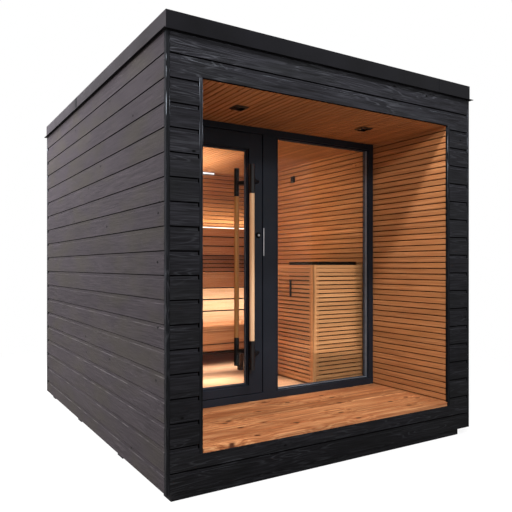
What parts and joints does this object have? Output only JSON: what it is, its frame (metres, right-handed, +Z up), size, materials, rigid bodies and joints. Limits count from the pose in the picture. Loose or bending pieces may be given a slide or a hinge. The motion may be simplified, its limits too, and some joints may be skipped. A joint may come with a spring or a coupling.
{
  "type": "outdoor sauna cabin",
  "caption": "Box-shaped outdoor sauna cabin with black board cladding, a slat-lined open porch and a glazed front wall with a hinged glass door, benches and a heater behind a slatted guard.",
  "frame": {"origin": "on the ground under the middle of the cabin's outer box", "axes": "+Z up, front with the porch and the door towards -Y, +X to the right seen from the front"},
  "size_m": [2.534, 3.062, 2.651],
  "materials": {
    "black_timber": "black stained boards",
    "structural_timber": "plain",
    "deck_boards": "oiled softwood",
    "floor_boards": "planed",
    "lining_slats": "planed slats",
    "bench_wood": "planed",
    "guard_wood": "planed slats",
    "handle_wood": "oiled",
    "roof_membrane": "matt",
    "roof_sheet": "matt black",
    "frame_profile": "powder coated",
    "black_fittings": "matt black",
    "heater_steel": "heat resistant",
    "lock_steel": "satin",
    "lamp_cover": "opal diffuser",
    "clear_glass": "clear"
  },
  "bodies": {
    "cabin": {"floor_bearers": "black_timber", "floor_cassette": "structural_timber", "porch_deck": "deck_boards", "interior_floor": "floor_boards", "side_walls": "structural_timber", "back_wall": "structural_timber", "roof_cassette": "structural_timber", "roof_membrane": "roof_membrane", "roof_fascia": "roof_sheet", "side_cladding": "black_timber", "back_cladding": "black_timber", "front_columns": "black_timber", "front_header": "black_timber", "front_sill": "black_timber", "corner_trims": "black_timber", "opening_trims": "black_timber", "porch_linings": "lining_slats", "porch_ceiling": "lining_slats", "room_linings": "lining_slats", "room_ceiling": "lining_slats", "porch_lights": "black_fittings", "frame_uprights": "frame_profile", "frame_rails": "frame_profile", "fixed_glass": "clear_glass", "window_beads": "frame_profile", "door_stops": "frame_profile", "frame_hinges": "black_fittings", "bench_seats": "bench_wood", "bench_fronts": "bench_wood", "bench_legs": "bench_wood", "bench_rails": "bench_wood", "backrest": "bench_wood", "backrest_battens": "bench_wood", "light_strips": "lamp_cover", "wall_lamp": "lamp_cover", "guard_end_panels": "guard_wood", "guard_side_panel": "guard_wood", "guard_handle": "black_fittings", "heater": "heater_steel", "room_sensor": "black_fittings"},
    "door": {"door_stiles": "frame_profile", "door_rails": "frame_profile", "door_glass": "clear_glass", "door_beads": "frame_profile", "door_hinges": "black_fittings", "handle_grips": "handle_wood", "handle_fittings": "black_fittings", "door_lock": "lock_steel"}
  },
  "joints": [
    {"name": "door_swing", "type": "hinge", "parent": "cabin", "child": "door", "pos_m": [-0.9775, -0.726, 1.29], "axis": [0, 0, -1], "range_deg": [0, 85]}
  ]
}
